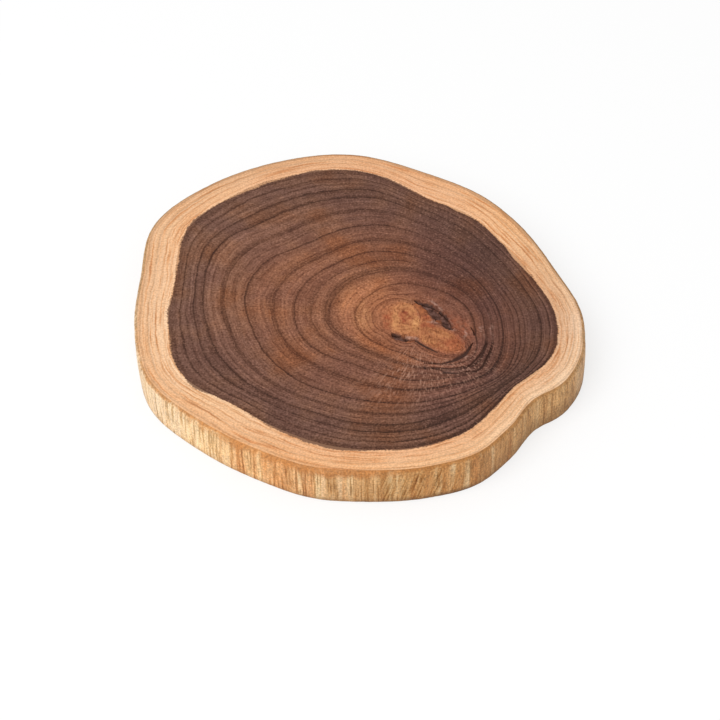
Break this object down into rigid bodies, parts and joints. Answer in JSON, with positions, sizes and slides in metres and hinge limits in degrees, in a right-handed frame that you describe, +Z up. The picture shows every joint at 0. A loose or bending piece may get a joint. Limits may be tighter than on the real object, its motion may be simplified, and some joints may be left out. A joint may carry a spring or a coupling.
{
  "type": "live edge cutting board",
  "caption": "Round slice of a forked trunk with a pale sapwood rim, dark heartwood and a twin pith, sanded flat as a cutting or serving board.",
  "frame": {"origin": "middle of the board's box, on the underside that it lies on", "axes": "+Z up out of the cutting face, +Y to the back along the longer side, +X to the right as pictured"},
  "size_m": [0.255, 0.2626, 0.024],
  "materials": {
    "sapwood": "sanded end grain, oiled, with bare stripped fibre on the side",
    "heartwood": "sanded end grain, oiled to a satin sheen",
    "pith": "sanded end grain, oiled to a satin sheen",
    "bark": "rough trapped bark, matt"
  },
  "bodies": {
    "root": {"sapwood_rim": "sapwood", "heartwood": "heartwood", "left_pith": "pith", "right_pith": "pith", "upper_bark_pocket": "bark", "lower_bark_pocket": "bark"}
  },
  "joints": []
}
